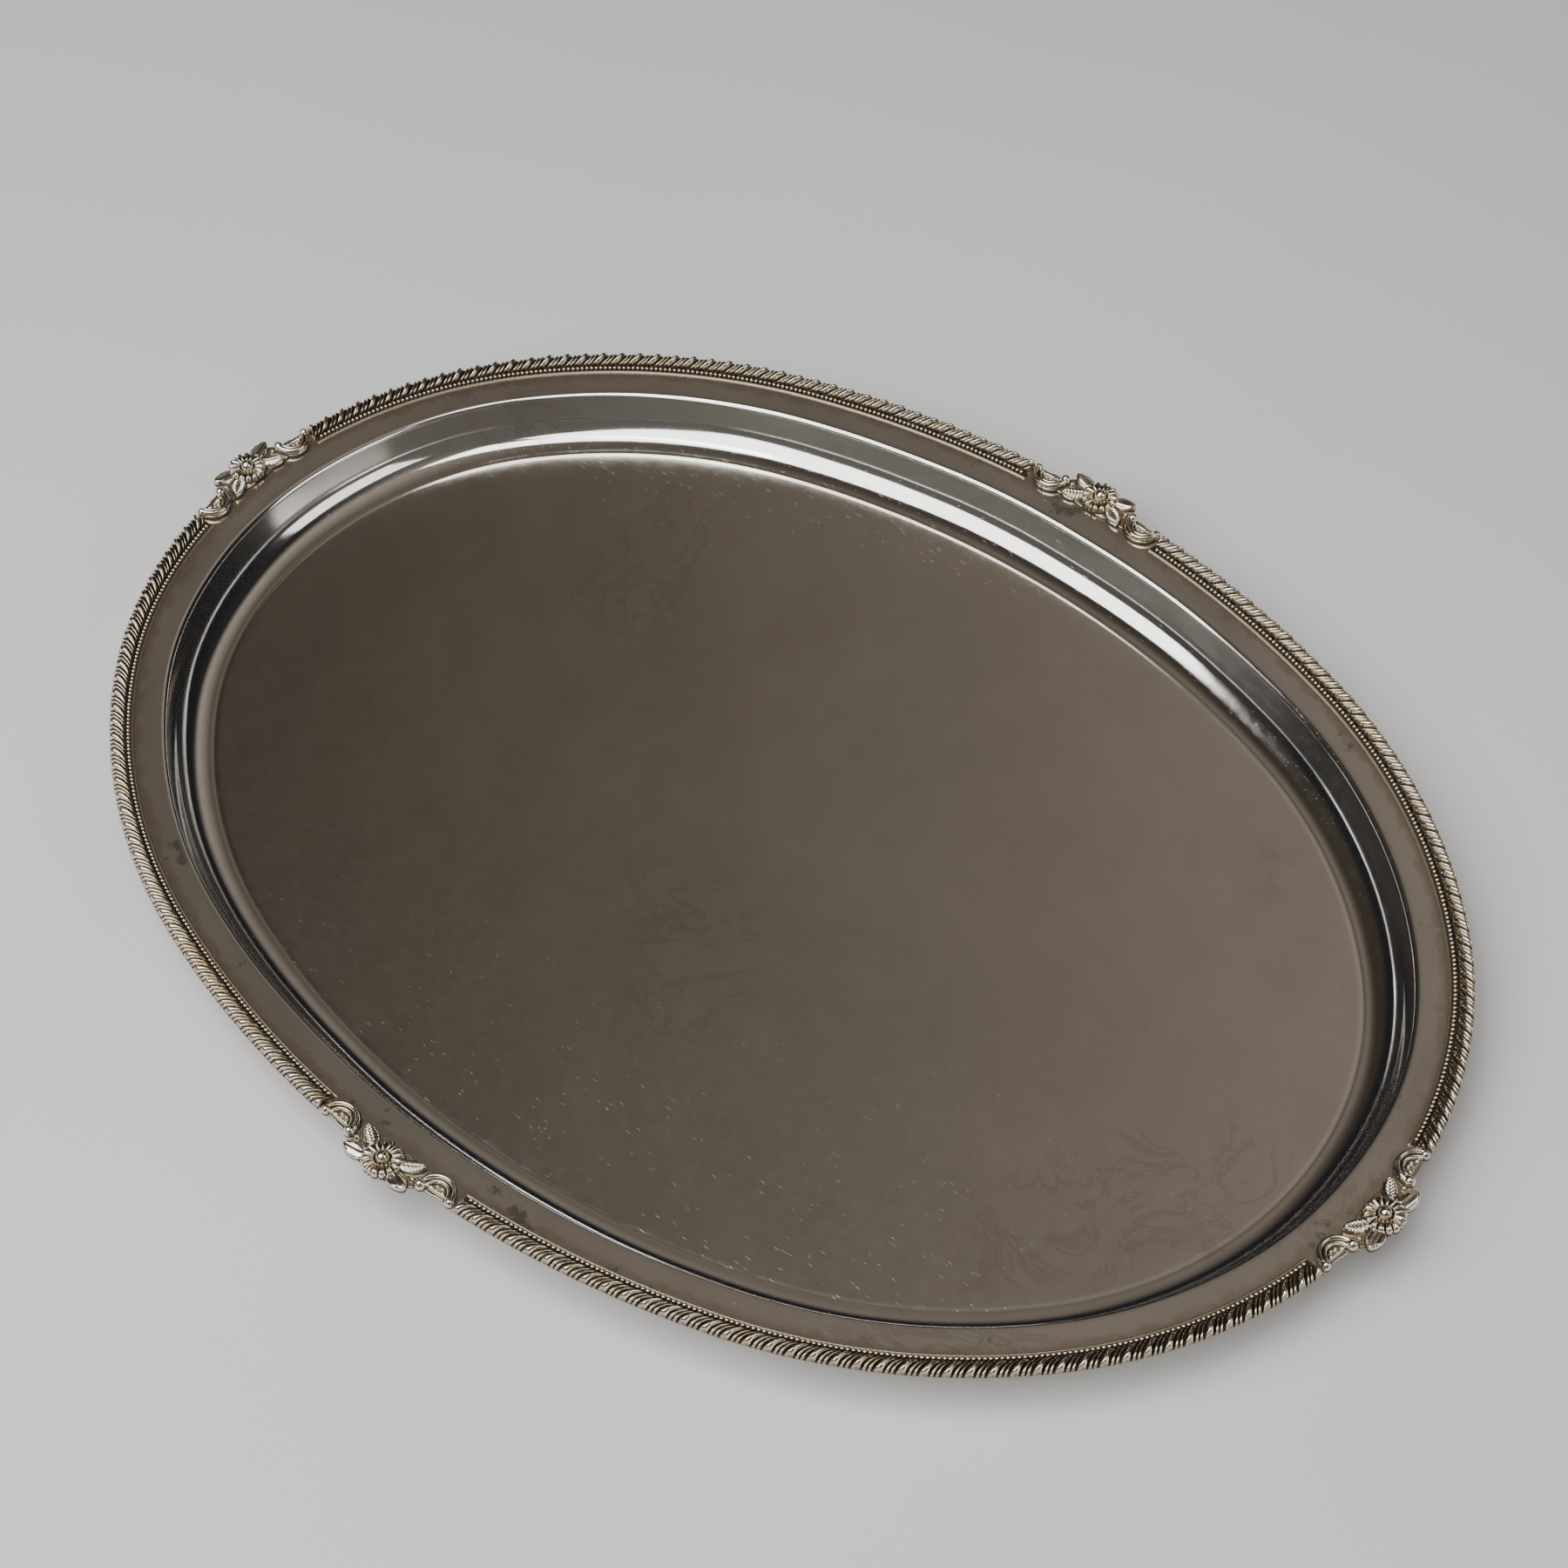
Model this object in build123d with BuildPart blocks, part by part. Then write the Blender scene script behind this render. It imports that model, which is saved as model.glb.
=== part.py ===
"""Oval dresser tray in silver plate: a raised pan with a gadroon and bead border and four floral castings.

Millimetres. The origin is the centre of the underside. X runs along the tray, Y across it, Z up.
"""
import os
from math import cos, degrees, radians, sin, tan

from build123d import *

# Outline over the border strips. A quarter of it is an end arc, a corner arc and a side arc, in tangent.
tray_length = 350.0
tray_width = 262.0
end_stop = 41.0  # direction of the outward normal where the end arc meets the corner arc, degrees from X
corner_stop = 71.0  # direction of the normal where the corner arc meets the side arc
corner_radius = 149.6

# Pan, raised from one sheet: flat floor, curved wall and a flange that rises a little to its edge
sheet = 1.2
well_depth = 11.7
flange_width = 12.1  # from the outline to the wall
flange_slope = 5.0  # degrees
pan_inset = 0.9  # from the outline to the pan's own edge, under the border
wall_width = 10.5
wall_slope = 74.0  # steepest slope of the curved wall, degrees
shoulder_radius = 1.6
edge_round = 0.4
floor_lap = 2.0  # how far the wall's section reaches in under the flat floor

# Border strips. Their insets are measured inwards from the outline.
gadroon_outer, gadroon_inner = 0.1, 3.8
gadroon_edge, gadroon_top, gadroon_slope = 0.5, 1.0, 0.7
units_per_strip = 42
lobe_length, lobe_radius, lobe_tail, lobe_height = 3.9, 1.0, 0.55, 1.3
reed_length, reed_radius, reed_tail, reed_height = 3.4, 0.52, 0.35, 1.3
reed_offsets = (1.75, 2.95)  # from the lobe to each reed, along the strip
lobe_lean = -35.0  # degrees off the border's normal
lobe_inset = 1.95
bead_inset = 4.5
bead_radius, bead_height = 0.6, 0.65
beads_per_strip = 161
strip_margin = 1.1  # plain length at each end of a strip
wire_outer, wire_inner, wire_thickness = 3.9, 5.8, 0.45
fillet_width, fillet_height = 0.5, 0.75  # plain ridge along the wire's inner edge

# Floral castings. Places on them are (along the border, outwards from the outline).
casting_half = 20.0
casting_gap = 0.25
casting_shifts = (-2.5, 0.0, 2.5, 0.6)  # right, back, left, front: each one's offset anticlockwise
casting_sink = 0.05  # depth by which the sloping flange trims its back
casting_back = 0.8
middle_place, middle_length, middle_width = (0.0, -1.0), 21.0, 8.4  # oval back between the scrolls
bridge_width = 3.6
scroll_place = (14.7, -1.2)
scroll_radius = 4.1
scroll_back, scroll_mouth = 4.5, 0.4  # radius of its round back, and how far that runs past the centre
scroll_ridges = ((4.1, 0.8, 1.3), (2.85, 0.42, 1.1))  # radius, tube radius and height of each ridge
volute_radius, volute_height = 1.2, 1.35
studs, stud_ring, stud_radius, stud_height = 4, 1.75, 0.38, 0.95
flower_place = (0.0, -0.5)
flower_radius, flower_thickness = 4.2, 1.1
petals, petal_inner, petal_outer = 15, 1.9, 4.8
petal_radius, petal_tail, petal_height = 0.78, 0.3, 1.3
eye_radius, eye_height = 1.6, 1.9
leaf_rise, leaf_taper = 1.6, 32
leaves = (  # place along and outwards, heading off the border, length, width
    (6.8, -3.5, -31, 6.2, 3.1),
    (6.6, 1.5, 13, 6.0, 3.8),
)

half_length, half_width = tray_length / 2, tray_width / 2
flange_low = sheet + well_depth
# The flange's slope run out to the outline
rim_height = flange_low + flange_width * tan(radians(flange_slope))


def closing_radii():
    """Radii of the end and side arcs that close a quarter of the outline round its corner arc."""
    first, second = radians(end_stop), radians(corner_stop)
    along = half_length - corner_radius * (cos(first) - cos(second))
    across = half_width - corner_radius * (sin(second) - sin(first))
    end_along, end_across = 1 - cos(first), sin(first)
    side_along, side_across = cos(second), 1 - sin(second)
    scale = end_along * side_across - side_along * end_across
    end = (along * side_across - across * side_along) / scale
    side = (across * end_along - along * end_across) / scale
    return end, side


end_radius, side_radius = closing_radii()
end_centre = half_length - end_radius
side_centre = half_width - side_radius
corner_x = end_centre + (end_radius - corner_radius) * cos(radians(end_stop))
corner_y = (end_radius - corner_radius) * sin(radians(end_stop))

# Each arc of the outline: its centre, its radius and the directions of its normal at start and stop.
outline_arcs = (
    ((end_centre, 0), end_radius, -end_stop, end_stop),
    ((corner_x, corner_y), corner_radius, end_stop, corner_stop),
    ((0, side_centre), side_radius, corner_stop, 180 - corner_stop),
    ((-corner_x, corner_y), corner_radius, 180 - corner_stop, 180 - end_stop),
    ((-end_centre, 0), end_radius, 180 - end_stop, 180 + end_stop),
    ((-corner_x, -corner_y), corner_radius, 180 + end_stop, 180 + corner_stop),
    ((0, -side_centre), side_radius, 180 + corner_stop, 360 - corner_stop),
    ((corner_x, -corner_y), corner_radius, 360 - corner_stop, 360 - end_stop),
)


def arcs_between(start, stop):
    """The stretches of the outline's arcs whose normals point between two directions."""
    stretches = []
    for whole_turn in (0, 360):
        for centre, radius, first, last in outline_arcs:
            low, high = max(start, first + whole_turn), min(stop, last + whole_turn)
            if high > low:
                stretches.append((centre, radius, low, high))
    return stretches


def sweep_round(section, start, stop):
    """Turn a section round each arc between two directions. It is drawn with X as the arc's radius."""
    for centre, radius, low, high in arcs_between(start, stop):
        across = (cos(radians(low)), sin(radians(low)), 0)
        facing = (sin(radians(low)), -cos(radians(low)), 0)
        with BuildSketch(Plane(origin=(*centre, 0), x_dir=across, z_dir=facing)) as profile:
            add(section(radius))
        revolve(profile.sketch, axis=Axis((*centre, 0), (0, 0, 1)), revolution_arc=high - low)


def strip_length(start, stop):
    """Length along the outline that a strip's units or beads fill."""
    whole = sum(radius * radians(high - low) for _, radius, low, high in arcs_between(start, stop))
    return whole - 2 * strip_margin


def spots_along(start, stop, count, shift, inset, height):
    """Places spaced evenly along the outline over the flange. The X axis of each points outwards."""
    stretches = arcs_between(start, stop)
    pitch = strip_length(start, stop) / count
    spots = []
    for number in range(count):
        distance = strip_margin + (number + 0.5) * pitch + shift
        for centre, radius, low, high in stretches:
            length = radius * radians(high - low)
            if distance <= length:
                break
            distance -= length
        direction = low + degrees(distance / radius)
        reach, z = over_flange(radius, inset, height)
        x = centre[0] + reach * cos(radians(direction))
        y = centre[1] + reach * sin(radians(direction))
        spots.append(Location((x, y, z), (0, 0, direction)))
    return spots


def oval(inset):
    """The area inside the outline, moved inwards."""
    with BuildSketch() as area:
        with BuildLine():
            for centre, radius, start, stop in outline_arcs:
                CenterArc(centre, radius - inset, start, stop - start)
        make_face()
    return area.sketch


def over_flange(radius, inset, height=0.0):
    """Section point at an inset from the outline and a height over the flange, which slopes."""
    return radius - inset, rim_height - inset * tan(radians(flange_slope)) + height


def pan_section(radius):
    """Wall and flange of the pan, from under the flat floor to the plain edge."""
    slope, rise = radians(wall_slope), radians(flange_slope)
    width = wall_width + shoulder_radius * sin(rise)
    depth = well_depth + shoulder_radius * (1 - cos(rise))
    rounds = (width * sin(slope) - depth * cos(slope)) / (1 - cos(slope))
    foot_radius = rounds - shoulder_radius
    straight = (width - rounds * sin(slope)) / cos(slope)
    through = sheet * Vector(sin(rise), -cos(rise))
    turn = wall_slope - flange_slope
    floor_edge = radius - flange_width - wall_width
    start = (floor_edge - floor_lap, sheet)
    with BuildSketch() as section:
        with BuildLine():
            floor = Line(start, (floor_edge, sheet))
            foot = JernArc(floor @ 1, floor % 1, foot_radius, wall_slope)
            wall = Line(foot @ 1, foot @ 1 + straight * (foot % 1))
            shoulder = JernArc(wall @ 1, wall % 1, shoulder_radius, -turn)
            flange = Line(shoulder @ 1, over_flange(radius, pan_inset))
            edge = Line(flange @ 1, flange @ 1 + through)
            under_flange = Line(edge @ 1, shoulder @ 1 + through)
            under_shoulder = JernArc(under_flange @ 1, under_flange % 1, shoulder_radius - sheet, turn)
            under_wall = Line(under_shoulder @ 1, under_shoulder @ 1 + straight * (under_shoulder % 1))
            under_foot = JernArc(under_wall @ 1, under_wall % 1, foot_radius + sheet, -wall_slope)
            base = Line(under_foot @ 1, (start[0], 0))
            Line(base @ 1, start)
        make_face()
        fillet(section.vertices().sort_by(Axis.X)[-2:], radius=edge_round)
    return section.sketch


def moulding_section(radius):
    """Strip with sloping edges that lies on the flange and a little over its edge."""
    corners = (
        (gadroon_inner, 0), (gadroon_outer, 0), (gadroon_outer, gadroon_edge),
        (gadroon_outer + gadroon_slope, gadroon_top), (gadroon_inner - gadroon_slope, gadroon_top),
        (gadroon_inner, gadroon_edge), (gadroon_inner, 0),
    )
    with BuildSketch() as section:
        with BuildLine():
            Polyline(*[over_flange(radius, *corner) for corner in corners])
        make_face()
    return section.sketch


def wire_section(radius):
    """Flat back of the beaded wire with a plain ridge along its inner edge."""
    ridge_edge = wire_inner - fillet_width
    corners = (
        (wire_inner, 0), (wire_outer, 0), (wire_outer, wire_thickness), (ridge_edge, wire_thickness),
        (ridge_edge, fillet_height), (wire_inner, fillet_height), (wire_inner, 0),
    )
    with BuildSketch() as section:
        with BuildLine():
            Polyline(*[over_flange(radius, *corner) for corner in corners])
        make_face()
    return section.sketch


def make_drop(length, radius, tail):
    """A drop that lies along X: a ball at +X that narrows in a cone to a smaller end at -X."""
    shoulder = (length / 2 - radius, radius)
    with BuildPart() as drop:
        with BuildSketch():
            with BuildLine():
                CenterArc((shoulder[0], 0), radius, 0, 90)
                Polyline(shoulder, (-length / 2, tail), (-length / 2, 0), (length / 2, 0))
            make_face()
        revolve(axis=Axis.X)
    return drop.part


def strip_limits(quarter):
    """Directions between which a quarter's border strips run, clear of the castings at its two ends."""
    reach = casting_half + casting_gap
    radii = (end_radius, side_radius) if quarter % 2 == 0 else (side_radius, end_radius)
    low = degrees((reach + casting_shifts[quarter]) / radii[0])
    high = degrees((reach - casting_shifts[(quarter + 1) % 4]) / radii[1])
    return 90 * quarter + low, 90 * quarter + 90 - high


def gadroon_strip(start, stop):
    """Crowned moulding with leaning lobes, each followed by narrow reeds."""
    pitch = strip_length(start, stop) / units_per_strip
    lean = Location((0, 0, 0), (0, 0, lobe_lean))
    first = -reed_offsets[-1] / 2
    rows = [(lobe, first, lobe_height)] + [(reed, first + offset, reed_height) for offset in reed_offsets]
    with BuildPart() as strip:
        sweep_round(moulding_section, start, stop)
        for drop, shift, height in rows:
            spots = spots_along(start, stop, units_per_strip, shift, lobe_inset, height)
            with Locations(*[spot * lean for spot in spots]):
                add(drop)
    return strip.part


def beaded_strip(start, stop):
    """Row of beads on a flat-backed wire."""
    with BuildPart() as strip:
        sweep_round(wire_section, start, stop)
        with Locations(*spots_along(start, stop, beads_per_strip, 0, bead_inset, bead_height)):
            Sphere(bead_radius)
    return strip.part


def c_scroll():
    """Two half-ring ridges between ball volutes, with a row of studs inside. It opens towards -Y."""
    with BuildPart() as scroll:
        for ring, tube, height in scroll_ridges:
            with BuildSketch(Plane.XZ):
                with Locations((ring, height)):
                    Circle(tube)
            revolve(axis=Axis.Z, revolution_arc=180)
        with Locations((-scroll_radius, 0, volute_height), (scroll_radius, 0, volute_height)):
            Sphere(volute_radius)
        with Locations((0, 0, stud_height)):
            with PolarLocations(stud_ring, studs, start_angle=22.5, angular_range=135, endpoint=True):
                Sphere(stud_radius)
    return scroll.part


def leaf(length, width):
    """Pointed leaf with sloping sides that lies along X."""
    with BuildPart() as blade:
        with BuildSketch():
            with BuildLine():
                ThreePointArc((-length / 2, 0), (0, -width / 2), (length / 2, 0))
                ThreePointArc((length / 2, 0), (0, width / 2), (-length / 2, 0))
            make_face()
        extrude(amount=leaf_rise, taper=leaf_taper)
    return blade.part


def seat(along, outwards, radius, heading=0):
    """A place on a casting that is bent round the outline. The border faces -Y, the outline at the origin."""
    turn = along / radius
    x = (radius + outwards) * sin(turn)
    y = radius - (radius + outwards) * cos(turn)
    return Location((x, y, 0), (0, 0, degrees(turn) + heading))


def floral_casting(radius):
    """Flower between four leaves and two C scrolls on a thin back. It follows an arc of the outline."""
    scroll_seats = [seat(side * scroll_place[0], scroll_place[1], radius) for side in (-1, 1)]
    with BuildPart() as casting:
        with BuildSketch():
            for place in scroll_seats:
                with Locations(place):
                    Circle(scroll_back)
                    with Locations((0, -scroll_back - scroll_mouth)):
                        Rectangle(3 * scroll_back, 2 * scroll_back, mode=Mode.SUBTRACT)
            with Locations((0, bridge_width / 2)):
                Rectangle(2 * scroll_place[0], bridge_width)
            with Locations(seat(*middle_place, radius)):
                Ellipse(middle_length / 2, middle_width / 2)
            with Locations(seat(*flower_place, radius)):
                Circle(flower_radius)
        extrude(amount=casting_back)
        with Locations(*scroll_seats):
            add(c_scroll())
        for along, outwards, heading, length, width in leaves:
            right = seat(along, outwards, radius, -heading)
            left = seat(-along, outwards, radius, 180 + heading)
            with Locations(right, left):
                add(leaf(length, width))
        with Locations(seat(*flower_place, radius)):
            Cylinder(flower_radius, flower_thickness, align=(Align.CENTER, Align.CENTER, Align.MIN))
            with Locations((0, 0, petal_height)):
                with PolarLocations((petal_inner + petal_outer) / 2, petals):
                    add(petal)
            with Locations((0, 0, eye_height)):
                Sphere(eye_radius)
    return casting.part


os.makedirs("parts", exist_ok=True)
lobe = make_drop(lobe_length, lobe_radius, lobe_tail)
reed = make_drop(reed_length, reed_radius, reed_tail)
petal = make_drop(petal_outer - petal_inner, petal_radius, petal_tail)

# Pan
with BuildPart() as pan:
    add(oval(flange_width + wall_width + floor_lap / 2))
    extrude(amount=sheet)
    sweep_round(pan_section, -end_stop, 360 - end_stop)
pan.part.label = "pan"
export_step(pan.part, "parts/pan.step")

# Gadroon strip and beaded wire in each quarter of the border
for quarter, place in enumerate(("back_right", "back_left", "front_left", "front_right")):
    with BuildPart() as gadroon:
        add(gadroon_strip(*strip_limits(quarter)))
    gadroon.part.label = "gadroon_" + place
    export_step(gadroon.part, "parts/gadroon_" + place + ".step")

    with BuildPart() as beading:
        add(beaded_strip(*strip_limits(quarter)))
    beading.part.label = "beading_" + place
    export_step(beading.part, "parts/beading_" + place + ".step")

# Floral casting at each end and in the middle of each side, tilted with the flange and trimmed by it
for number, (place, radius, position) in enumerate((
    ("right", end_radius, (half_length, 0)),
    ("back", side_radius, (0, half_width)),
    ("left", end_radius, (-half_length, 0)),
    ("front", side_radius, (0, -half_width)),
)):
    middle = Location((*position, rim_height - casting_sink), (0, 0, 90 + 90 * number))
    with BuildPart() as casting:
        with Locations(middle * seat(casting_shifts[number], 0, radius) * Rotation(-flange_slope, 0, 0)):
            add(floral_casting(radius))
        add(pan.part, mode=Mode.SUBTRACT)
    casting.part.label = "flower_casting_" + place
    export_step(casting.part, "parts/flower_casting_" + place + ".step")
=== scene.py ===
"""Looks of the oval dresser tray: pan, border strips and floral castings in tarnished silver plate.

Metres. The frame is the CAD's: origin at the centre of the underside, X along the tray, Z up.
"""

from math import cos, pi, radians, sin, sqrt, tan

import bpy
import numpy as np
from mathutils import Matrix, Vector


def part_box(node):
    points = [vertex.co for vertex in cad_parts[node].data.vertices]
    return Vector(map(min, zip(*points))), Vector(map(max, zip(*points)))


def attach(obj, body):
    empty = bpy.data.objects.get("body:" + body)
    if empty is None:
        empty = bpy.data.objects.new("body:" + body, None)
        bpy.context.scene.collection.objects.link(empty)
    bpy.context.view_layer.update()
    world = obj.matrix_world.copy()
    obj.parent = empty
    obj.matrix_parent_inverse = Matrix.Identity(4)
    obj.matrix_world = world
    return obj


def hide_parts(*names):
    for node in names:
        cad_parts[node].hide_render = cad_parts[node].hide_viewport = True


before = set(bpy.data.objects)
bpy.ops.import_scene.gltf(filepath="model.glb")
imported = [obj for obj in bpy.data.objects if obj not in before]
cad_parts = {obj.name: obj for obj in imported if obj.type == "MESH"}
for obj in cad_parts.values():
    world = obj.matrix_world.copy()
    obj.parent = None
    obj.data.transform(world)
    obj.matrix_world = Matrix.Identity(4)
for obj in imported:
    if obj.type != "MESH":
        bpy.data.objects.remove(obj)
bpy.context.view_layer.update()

MM = 0.001

# The tray's outline, as in the CAD: three arcs to a quarter
_, pan_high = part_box("pan")
pan_inset = 0.9
half_length, half_width = pan_high[0] / MM + pan_inset, pan_high[1] / MM + pan_inset
end_stop, corner_stop = radians(41.0), radians(71.0)
corner_radius = 149.6
sheet, well_depth, edge_round = 1.2, 11.7, 0.4
flange_width, wall_width, shoulder_radius = 12.1, 10.5, 1.6
wall_slope, flange_slope = radians(74.0), radians(5.0)
rim_height = sheet + well_depth + flange_width * tan(flange_slope)
floor_edge = flange_width + wall_width
casting_half = 20.25
casting_shifts = (-2.5, 0.0, 2.5, 0.6)  # right, back, left, front

# Spacing of the relief grids, and the values of tarnish and painted shade on a strip's hidden back and on
# its plain ends
grid_step = 0.11
hidden_recess, plain_recess = 0.6, 0.5


def flange_at(inset):
    """Height of the sloping flange at an inset from the outline, in mm."""
    return rim_height - inset * tan(flange_slope)


def closing_radii():
    """Radii of the end and side arcs that close a quarter of the outline round its corner arc."""
    along = half_length - corner_radius * (cos(end_stop) - cos(corner_stop))
    across = half_width - corner_radius * (sin(corner_stop) - sin(end_stop))
    matrix = np.array([[1 - cos(end_stop), cos(corner_stop)], [sin(end_stop), 1 - sin(corner_stop)]])
    return np.linalg.solve(matrix, [along, across])


end_radius, side_radius = closing_radii()
quarter_length = (
    end_radius * end_stop + corner_radius * (corner_stop - end_stop) + side_radius * (pi / 2 - corner_stop)
)


def quarter_point(distance):
    """Point and outward normal of the first quarter's outline at distances from the +X end, in mm."""
    corner_start = end_radius * end_stop
    side_start = corner_start + corner_radius * (corner_stop - end_stop)
    in_corner = (distance >= corner_start) & (distance < side_start)
    in_side = distance >= side_start
    angle = distance / end_radius
    angle = np.where(in_corner, end_stop + (distance - corner_start) / corner_radius, angle)
    angle = np.where(in_side, corner_stop + (distance - side_start) / side_radius, angle)
    end_centre = half_length - end_radius
    corner_x = end_centre + (end_radius - corner_radius) * cos(end_stop)
    corner_y = (end_radius - corner_radius) * sin(end_stop)
    radius = np.where(in_side, side_radius, np.where(in_corner, corner_radius, end_radius))
    centre_x = np.where(in_side, 0.0, np.where(in_corner, corner_x, end_centre))
    centre_y = np.where(in_side, half_width - side_radius, np.where(in_corner, corner_y, 0.0))
    normal = np.stack([np.cos(angle), np.sin(angle)], -1)
    return np.stack([centre_x, centre_y], -1) + radius[..., None] * normal, normal


def outline(distance):
    """Point and outward normal of the whole outline at distances counted anticlockwise from the +X end."""
    distance = np.mod(np.asarray(distance, float), 4 * quarter_length)
    quarter = np.floor(distance / quarter_length).astype(int)
    within = distance - quarter * quarter_length
    mirrored = (quarter % 2) == 1
    point, normal = quarter_point(np.where(mirrored, quarter_length - within, within))
    sign_x = np.where((quarter == 1) | (quarter == 2), -1.0, 1.0)[..., None]
    sign_y = np.where(quarter >= 2, -1.0, 1.0)[..., None]
    signs = np.concatenate([sign_x, sign_y], -1)
    return point * signs, normal * signs


# ---- Mesh helpers ----

def new_object(name, points, faces, **attributes):
    """Smooth mesh object from points in mm, arrays of faces and named values per point."""
    mesh = bpy.data.meshes.new(name)
    mesh.vertices.add(len(points))
    mesh.vertices.foreach_set("co", (np.asarray(points, float) * MM).ravel())
    corners = np.concatenate([np.asarray(group).ravel() for group in faces])
    sizes = np.concatenate([np.full(len(group), np.asarray(group).shape[1]) for group in faces])
    mesh.loops.add(len(corners))
    mesh.loops.foreach_set("vertex_index", corners)
    mesh.polygons.add(len(sizes))
    mesh.polygons.foreach_set("loop_start", np.concatenate([[0], np.cumsum(sizes)[:-1]]))
    mesh.polygons.foreach_set("use_smooth", np.ones(len(sizes), bool))
    mesh.update(calc_edges=True)
    mesh.validate()
    for key, values in attributes.items():
        layer = mesh.attributes.new(key, "FLOAT", "POINT")
        layer.data.foreach_set("value", np.asarray(values, float).ravel())
    piece = bpy.data.objects.new(name, mesh)
    bpy.context.scene.collection.objects.link(piece)
    return piece


def smoothstep(low, high, values):
    """0 below low, 1 above high and a smooth rise between."""
    share = np.clip((values - low) / (high - low), 0, 1)
    return share * share * (3 - 2 * share)


def blurred(field, sigma):
    """The field smoothed by a Gaussian of sigma samples along both axes."""
    reach = int(3 * sigma) + 1
    weights = np.exp(-0.5 * (np.arange(-reach, reach + 1) / sigma) ** 2)
    weights /= weights.sum()
    for axis in (0, 1):
        padded = np.concatenate(
            [np.repeat(np.take(field, [0], axis), reach, axis), field,
             np.repeat(np.take(field, [-1], axis), reach, axis)], axis)
        total = np.zeros_like(field)
        for step, weight in enumerate(weights):
            total += weight * np.take(padded, range(step, step + field.shape[axis]), axis)
        field = total
    return field


def ripple(along, length, waves, seed):
    """Smooth periodic wobble of about unit size along a closed curve."""
    draw = np.random.default_rng(seed)
    total = np.zeros_like(along)
    for wave in waves:
        total += draw.uniform(0.5, 1.0) * np.sin(2 * pi * wave * along / length + draw.uniform(0, 2 * pi))
    return total / sqrt(len(waves))


def closed_relief(top, back):
    """Points and faces of a slab: a fine upper grid, rows by columns, and two rows of points underneath."""
    rows, columns = top.shape[:2]
    points = np.concatenate([top.reshape(-1, 3), back[:, [0, -1]].reshape(-1, 3)])
    index = np.arange(rows * columns).reshape(rows, columns)
    under = rows * columns + np.arange(2 * rows).reshape(rows, 2)

    def band(first, second):
        """Quads between two lines of points."""
        return np.stack([first[:-1], second[:-1], second[1:], first[1:]], -1)

    upper = np.stack([index[:-1, :-1], index[1:, :-1], index[1:, 1:], index[:-1, 1:]], -1).reshape(-1, 4)
    sides = np.concatenate([upper, band(index[:, 0], under[:, 0]), band(under[:, 0], under[:, 1]),
                            band(under[:, 1], index[:, -1])])
    start = np.concatenate([index[0], under[0, ::-1]])[None, :]
    stop = np.concatenate([index[-1, ::-1], under[-1]])[None, :]
    return points, [sides, start, stop]


# ---- Pan ----

def pan_profile():
    """Rings of the pan from the floor's edge up over the rim and back underneath: (inset, height)."""
    width = wall_width + shoulder_radius * sin(flange_slope)
    depth = well_depth + shoulder_radius * (1 - cos(flange_slope))
    rounds = (width * sin(wall_slope) - depth * cos(wall_slope)) / (1 - cos(wall_slope))
    foot_radius = rounds - shoulder_radius

    def face(foot, shoulder, drop, counts):
        """One face of the wall and flange, drop below the upper one, with so many rings to each part."""
        rings = []
        for angle in np.linspace(0, wall_slope, counts[0]):
            rings.append((floor_edge - foot * sin(angle), sheet + foot_radius - foot * cos(angle)))
        middle = flange_width - shoulder_radius * sin(flange_slope)
        level = sheet + well_depth - shoulder_radius * cos(flange_slope)
        for angle in np.linspace(wall_slope, flange_slope, counts[1]):
            rings.append((middle + shoulder * sin(angle), level + shoulder * cos(angle)))
        first, last = rings[-1][0], pan_inset + edge_round
        for inset in np.linspace(first, last, counts[2])[1:]:
            rings.append((inset, flange_at(inset) - drop / cos(flange_slope)))
        return rings

    upper = face(foot_radius, shoulder_radius, 0.0, (20, 12, 25))
    lower = face(foot_radius + sheet, shoulder_radius - sheet, sheet, (10, 5, 5))
    level = flange_at(pan_inset + edge_round)
    edge = []
    for angle in np.linspace(0, pi / 2, 6)[1:]:
        edge.append((pan_inset + edge_round * (1 - sin(angle)), level - edge_round * (1 - cos(angle))))
    under_edge = [(inset, 2 * level - sheet - height) for inset, height in edge[::-1]]
    return upper + edge + under_edge + lower[::-1]


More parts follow.
